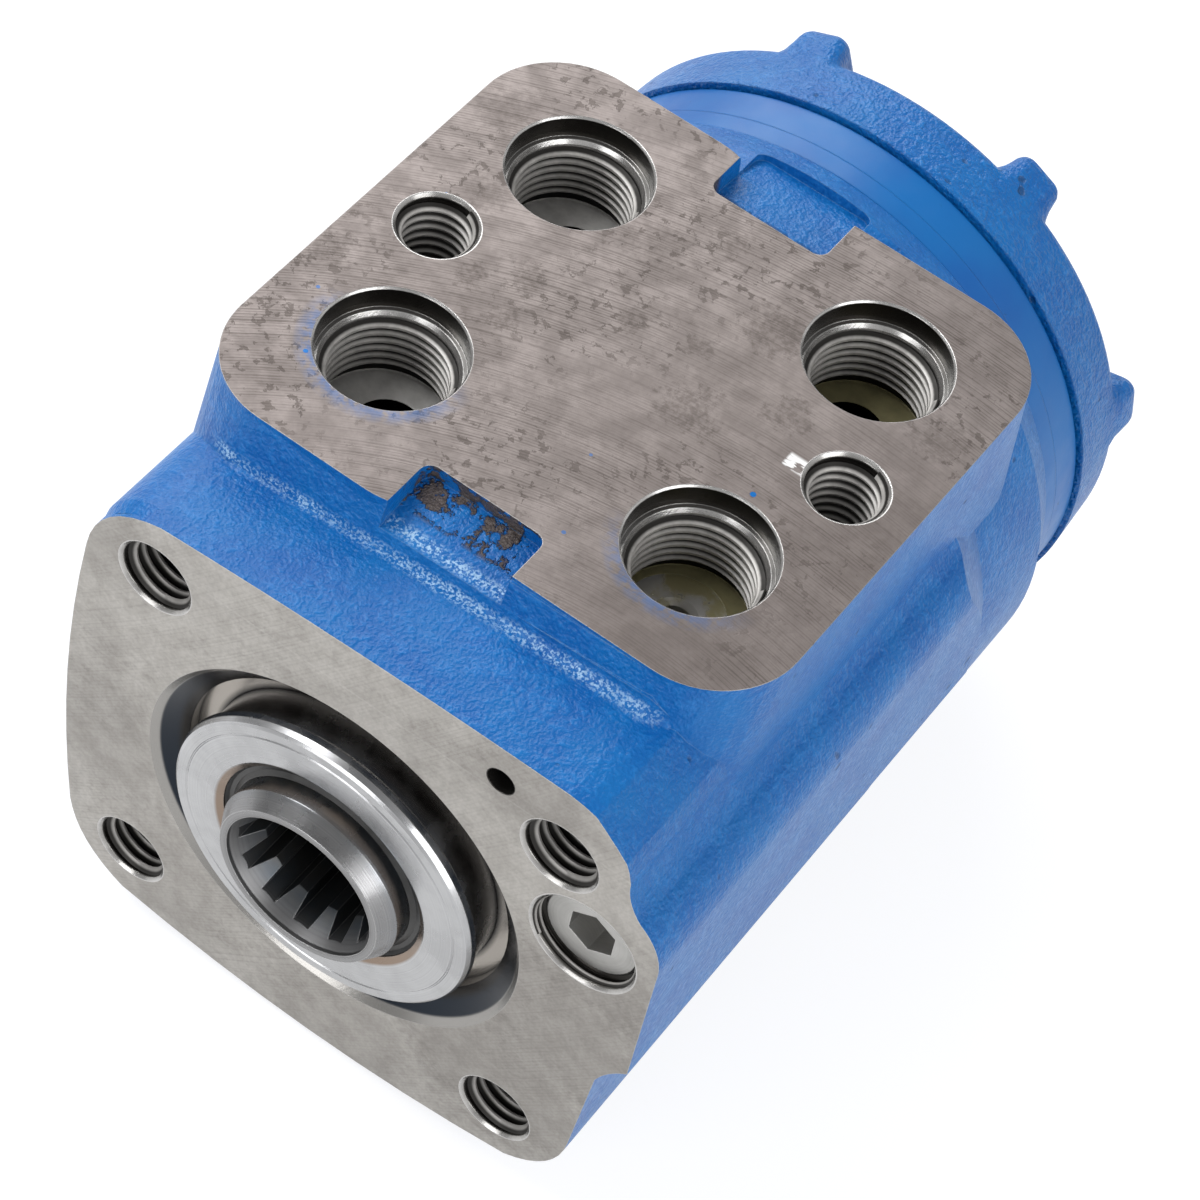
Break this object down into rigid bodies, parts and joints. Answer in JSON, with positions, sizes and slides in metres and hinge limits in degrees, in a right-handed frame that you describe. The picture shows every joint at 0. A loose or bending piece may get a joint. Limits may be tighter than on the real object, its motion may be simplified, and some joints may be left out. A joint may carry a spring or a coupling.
{
  "type": "orbital steering unit",
  "caption": "Hydrostatic steering unit: splined rotary valve in a painted cast housing with threaded ports on top and an orbiting gear set under a round end cover.",
  "frame": {"origin": "on the shaft axis in the plane of the mounting face, at the centre of the column bolt pattern", "axes": "+Y back along the shaft towards the end cover, +Z out of the port face, +X to the right seen from the column"},
  "size_m": [0.0888, 0.1286, 0.0911],
  "materials": {
    "blue_casting": "blue enamel over rough cast iron, faces milled bare",
    "blue_band": "smooth blue enamel over turned steel",
    "blue_cover": "blue enamel over rough cast iron",
    "gland_steel": "finely turned bright steel",
    "spool_steel": "ground steel with heat tint",
    "hard_steel": "ground hardened steel",
    "spring_steel": "blued spring steel",
    "screw_steel": "black oxide steel",
    "plug_steel": "plated steel",
    "cage_brass": "pressed cage",
    "seal_rubber": "oil resistant rubber"
  },
  "bodies": {
    "housing": {"housing": "blue_casting", "gland": "gland_steel", "wiper_seal": "seal_rubber", "shaft_seal": "seal_rubber", "gland_o_ring": "seal_rubber", "front_race": "hard_steel", "distribution_plate": "blue_band", "gear_ring": "blue_band", "housing_o_ring": "seal_rubber", "plate_o_ring": "seal_rubber", "cover_o_ring": "seal_rubber", "end_cover": "blue_cover", "cover_screws": "screw_steel", "pin_screw": "screw_steel", "screw_washers": "gland_steel", "check_seat": "gland_steel", "ball_stop": "hard_steel", "relief_plug": "plug_steel", "plug_seal": "seal_rubber", "relief_spring": "spring_steel", "relief_seat": "hard_steel"},
    "sleeve": {"sleeve": "hard_steel", "rear_race": "hard_steel", "cross_pin": "hard_steel", "neutral_ring": "hard_steel", "flat_springs": "spring_steel", "curved_springs": "spring_steel"},
    "spool": {"spool": "spool_steel"},
    "cage": {"needle_cage": "cage_brass", "needles": "hard_steel"},
    "disc": {"spacer_disc": "hard_steel"},
    "rotor": {"rotor": "hard_steel"},
    "drive": {"drive_shaft": "hard_steel"},
    "ball": {"check_ball": "hard_steel"},
    "poppet": {"relief_poppet": "hard_steel"}
  },
  "joints": [
    {"name": "sleeve_turn", "type": "hinge", "parent": "housing", "child": "sleeve", "pos_m": [0, 0, 0], "axis": [0, 1, 0], "continuous": true},
    {"name": "spool_turn", "type": "hinge", "parent": "sleeve", "child": "spool", "pos_m": [0, 0, 0], "axis": [0, 1, 0], "range_deg": [-8, 8], "stiffness_Nm_per_rad": 2, "deforming": ["curved_springs", "flat_springs"]},
    {"name": "cage_turn", "type": "hinge", "parent": "housing", "child": "cage", "pos_m": [0, 0, 0], "axis": [0, 1, 0], "continuous": true},
    {"name": "rotor_orbit", "type": "hinge", "parent": "housing", "child": "disc", "pos_m": [0, 0, 0], "axis": [0, 1, 0], "continuous": true},
    {"name": "rotor_turn", "type": "hinge", "parent": "disc", "child": "rotor", "pos_m": [0, 0.1038, 0.002], "axis": [0, 1, 0], "continuous": true},
    {"name": "drive_turn", "type": "hinge", "parent": "disc", "child": "drive", "pos_m": [0, 0.038, 0], "axis": [0, 0.9995, 0.0304], "continuous": true},
    {"name": "check_lift", "type": "slide", "parent": "housing", "child": "ball", "axis": [0, 0, 1], "range_m": [0, 0.0012]},
    {"name": "relief_lift", "type": "slide", "parent": "housing", "child": "poppet", "axis": [0, -1, 0], "range_m": [0, 0.0015], "stiffness_N_per_m": 2000, "springref_m": -0.004, "deforming": ["relief_spring"]}
  ],
  "couplings": [
    {"joint": "cage_turn", "follows": "sleeve_turn", "ratio": 0.5},
    {"joint": "rotor_orbit", "follows": "sleeve_turn", "ratio": -6},
    {"joint": "rotor_turn", "follows": "sleeve_turn", "ratio": 7},
    {"joint": "drive_turn", "follows": "sleeve_turn", "ratio": 7}
  ]
}
